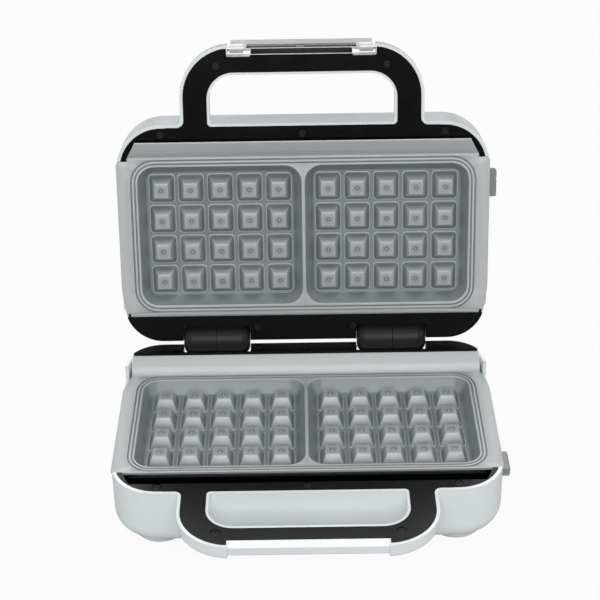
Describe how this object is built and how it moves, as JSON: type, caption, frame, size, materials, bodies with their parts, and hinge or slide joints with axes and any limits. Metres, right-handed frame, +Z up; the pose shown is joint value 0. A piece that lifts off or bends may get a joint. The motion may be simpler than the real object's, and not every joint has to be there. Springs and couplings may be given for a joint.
{
  "type": "waffle maker",
  "caption": "Two-mould electric waffle maker with a white casing, looped carrying handles, swing-over latch and a lid hinged at the rear, shown open.",
  "frame": {"origin": "middle of the open machine's footprint, on the surface it stands on", "axes": "+Z up, -Y towards the user (handles), +X to the user's right, along the hinge"},
  "size_m": [0.2921, 0.3061, 0.3124],
  "materials": {
    "black_frame": "fine satin black moulding",
    "black_screw": "black screw",
    "bright_steel": "plain steel",
    "foot_rubber": "grey soft rubber",
    "fuse_body": "tan",
    "gland_rubber": "black",
    "grey_button": "satin grey",
    "heater_sheath": "dull sheath",
    "hinge_plastic": "satin black moulding",
    "lamp_glass": "clear",
    "latch_metal": "satin silver",
    "lens": "translucent amber",
    "plate_coating": "light grey non-stick coating on cast aluminium",
    "reflector_sheet": "bright sheet",
    "terminal_plastic": "ivory",
    "white_casing": "smooth gloss white"
  },
  "bodies": {
    "base": {"cord_gland": "gland_rubber", "foot_pads": "foot_rubber", "hinge_pins": "bright_steel", "lower_button_spring": "bright_steel", "lower_casing": "white_casing", "lower_element_clips": "bright_steel", "lower_frame": "black_frame", "lower_frame_screws": "black_screw", "lower_handle_screws": "black_screw", "lower_heating_element": "heater_sheath", "lower_hinge_knuckles": "hinge_plastic", "lower_plate_catches": "bright_steel", "lower_reflector": "reflector_sheet", "lower_spring_seat": "bright_steel", "lower_waffle_plate": "plate_coating", "terminal_block": "terminal_plastic", "thermal_fuse": "fuse_body", "thermostat": "bright_steel"},
    "lid": {"indicator_lamps": "lamp_glass", "indicator_lenses": "lens", "latch_pins": "bright_steel", "upper_button_spring": "bright_steel", "upper_casing": "white_casing", "upper_element_clips": "bright_steel", "upper_frame": "black_frame", "upper_frame_screws": "black_screw", "upper_handle_screws": "black_screw", "upper_heating_element": "heater_sheath", "upper_hinge_knuckles": "hinge_plastic", "upper_plate_catches": "bright_steel", "upper_reflector": "reflector_sheet", "upper_spring_seat": "bright_steel", "upper_waffle_plate": "plate_coating"},
    "latch": {"latch_bar": "latch_metal"},
    "lower_button": {"lower_release_button": "grey_button"},
    "upper_button": {"upper_release_button": "grey_button"}
  },
  "joints": [
    {"name": "lid_hinge", "type": "hinge", "parent": "base", "child": "lid", "pos_m": [-0.00216, 0.08548, 0.07807], "axis": [1, 0, 0], "range_deg": [0, 103.1]},
    {"name": "latch_hinge", "type": "hinge", "parent": "lid", "child": "latch", "pos_m": [-0.00216, 0.13043, 0.30687], "axis": [1, 0, 0], "range_deg": [0, 180]},
    {"name": "lower_button_press", "type": "slide", "parent": "base", "child": "lower_button", "axis": [-1, 0, 0], "range_m": [0, 0.003], "stiffness_N_per_m": 900, "springref_m": -0.002, "deforming": ["lower_button_spring"]},
    {"name": "upper_button_press", "type": "slide", "parent": "lid", "child": "upper_button", "axis": [-1, 0, 0], "range_m": [0, 0.003], "stiffness_N_per_m": 900, "springref_m": -0.002, "deforming": ["upper_button_spring"]}
  ]
}
